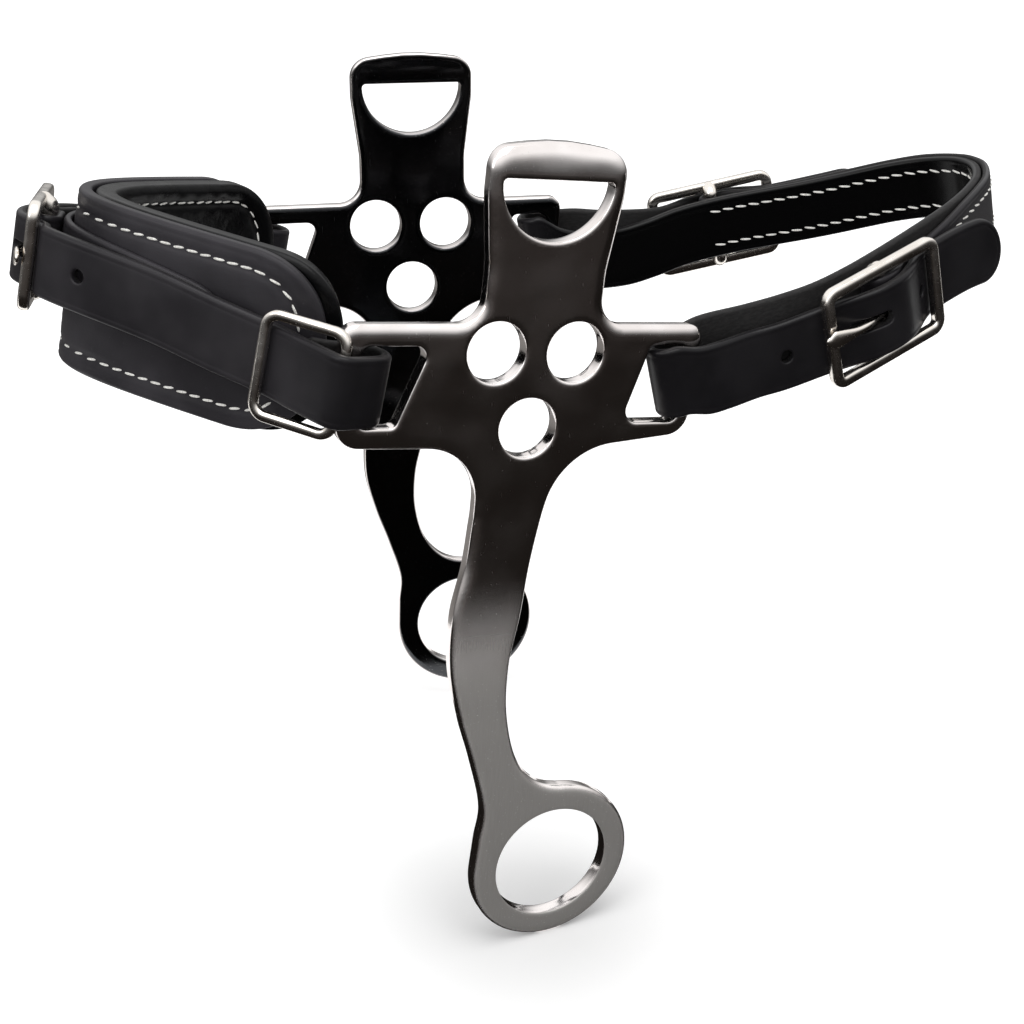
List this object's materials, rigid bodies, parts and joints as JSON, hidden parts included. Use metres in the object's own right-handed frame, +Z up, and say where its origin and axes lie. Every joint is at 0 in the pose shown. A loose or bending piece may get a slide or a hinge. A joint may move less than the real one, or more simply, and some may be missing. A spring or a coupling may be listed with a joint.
{
  "type": "hackamore",
  "caption": "Mechanical hackamore: padded leather noseband on buckled straps between long-shank steel cheek plates with strap eyes, slots and rein rings, joined behind by a buckled curb strap.",
  "frame": {"origin": "innermost point of the nose pad's inside face at half its height, where the pad bears on the bridge of the nose", "axes": "+X rearward from the nose pad to the curb strap, +Y to the far side, +Z up"},
  "size_m": [0.2938, 0.1498, 0.2313],
  "materials": {
    "cheek_steel": "polished head and wings, satin shank and ring, bright rounded edges",
    "shell_leather": "smooth black bridle leather with burnished edges and white stitching",
    "lining_leather": "soft black leather, rolled over padding",
    "strap_leather": "smooth black strap leather with polished edges",
    "bright_hardware": "polished nickel silver with a warm tone"
  },
  "bodies": {
    "noseband": {"nose_pad_lining": "lining_leather", "nose_pad_shell": "shell_leather", "nose_guard_strip": "shell_leather", "near_nose_strap": "strap_leather", "far_nose_strap": "strap_leather", "near_slide_ring": "bright_hardware", "far_slide_ring": "bright_hardware", "nose_buckle": "bright_hardware"},
    "near_cheek": {"near_cheek_plate": "cheek_steel"},
    "far_cheek": {"far_cheek_plate": "cheek_steel"},
    "curb": {"curb_strap": "strap_leather", "curb_outer_ply": "strap_leather", "near_curb_buckle": "bright_hardware", "far_curb_buckle": "bright_hardware"},
    "nose_tongue": {"nose_buckle_tongue": "bright_hardware"},
    "near_curb_pin": {"near_curb_tongue": "bright_hardware"},
    "far_curb_pin": {"far_curb_tongue": "bright_hardware"}
  },
  "joints": [
    {"name": "near_cheek_swing", "type": "hinge", "parent": "noseband", "child": "near_cheek", "pos_m": [0.0572, -0.0648, -0.0148], "axis": [0, -1, 0], "range_deg": [0, 10]},
    {"name": "far_cheek_swing", "type": "hinge", "parent": "noseband", "child": "far_cheek", "pos_m": [0.0572, 0.0648, -0.0148], "axis": [0, -1, 0], "range_deg": [0, 10]},
    {"name": "curb_drop", "type": "hinge", "parent": "near_cheek", "child": "curb", "pos_m": [0.136, -0.0562, -0.0251], "axis": [0.0053, 0.9959, 0.0904], "range_deg": [-2, 25]},
    {"name": "nose_tongue_swing", "type": "hinge", "parent": "noseband", "child": "nose_tongue", "pos_m": [-0.01605, 0.00502, 0.00877], "axis": [-0.2215, 0, -0.9752], "range_deg": [0, 8]},
    {"name": "near_curb_tongue_swing", "type": "hinge", "parent": "curb", "child": "near_curb_pin", "pos_m": [0.20204, -0.05412, -0.01211], "axis": [-0.2147, 0, 0.9767], "range_deg": [0, 8]},
    {"name": "far_curb_tongue_swing", "type": "hinge", "parent": "curb", "child": "far_curb_pin", "pos_m": [0.2022, 0.05405, -0.01289], "axis": [0.2147, 0, -0.9767], "range_deg": [0, 8]}
  ],
  "couplings": [
    {"joint": "far_cheek_swing", "follows": "near_cheek_swing", "ratio": 1}
  ]
}
